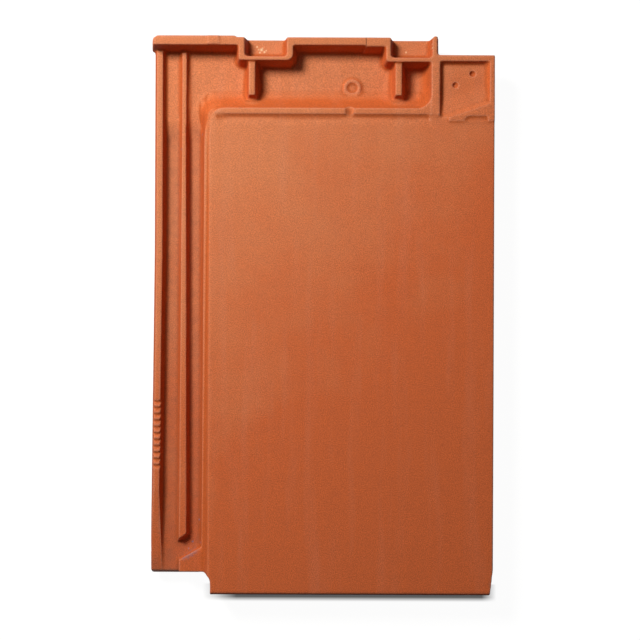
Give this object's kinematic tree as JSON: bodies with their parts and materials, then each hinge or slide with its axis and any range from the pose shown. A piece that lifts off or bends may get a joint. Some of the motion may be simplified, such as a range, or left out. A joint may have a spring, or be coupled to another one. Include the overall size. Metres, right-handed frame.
{
  "type": "clay roof tile",
  "caption": "Flat interlocking clay roof tile with a ribbed side lock, a head tray with jogged rib and lugs, a square head recess and batten nibs underneath.",
  "frame": {"origin": "middle of the tile's bounding box in X and Y, at the level of the surface it lies on", "axes": "+X across the tile towards its cover side, +Y up the slope towards the head, +Z out of the weathered face"},
  "size_m": [0.2776, 0.45, 0.0353],
  "materials": {
    "fired_clay": "matte natural red fired clay, unglazed"
  },
  "bodies": {
    "root": {"tile": "fired_clay"}
  },
  "joints": []
}
